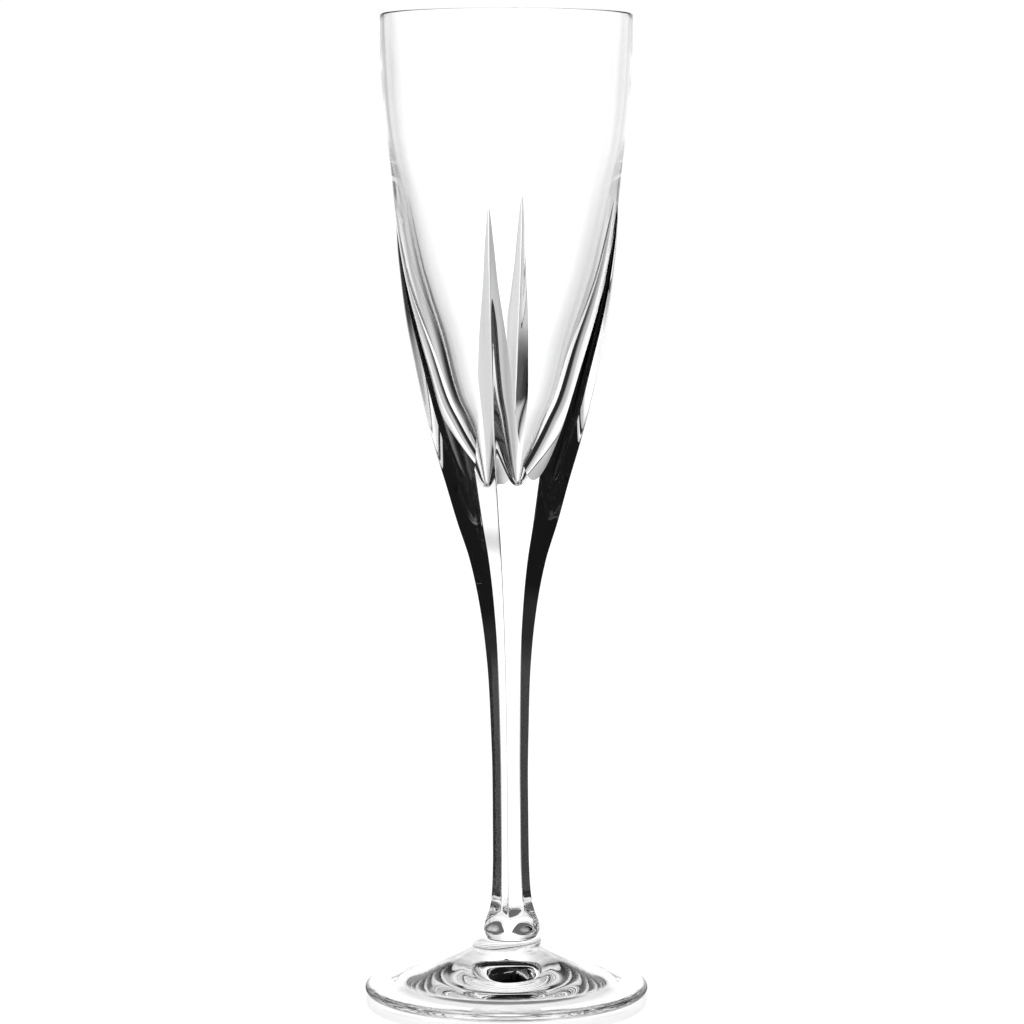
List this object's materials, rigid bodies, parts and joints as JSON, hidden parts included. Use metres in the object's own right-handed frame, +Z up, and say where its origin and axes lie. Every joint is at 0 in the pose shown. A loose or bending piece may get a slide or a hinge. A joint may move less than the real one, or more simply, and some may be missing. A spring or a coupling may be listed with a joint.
{
  "type": "champagne flute",
  "caption": "Tall crystal champagne flute: a round tapering bowl held in a square stem whose corners run up its outside as sharp fins, on a round disc foot.",
  "frame": {"origin": "centre of the foot's resting ring, on the table", "axes": "+Z up along the glass's axis; the four flats of the square stem face along X and Y, and its corners and fins lie on the diagonals"},
  "size_m": [0.0712, 0.0712, 0.245],
  "materials": {
    "bowl_crystal": "clear polished crystal, fire-polished rim",
    "stem_crystal": "clear polished crystal with crisp pressed edges",
    "foot_crystal": "clear polished crystal"
  },
  "bodies": {
    "root": {"bowl": "bowl_crystal", "stem": "stem_crystal", "weld_bead": "stem_crystal", "foot": "foot_crystal"}
  },
  "joints": []
}
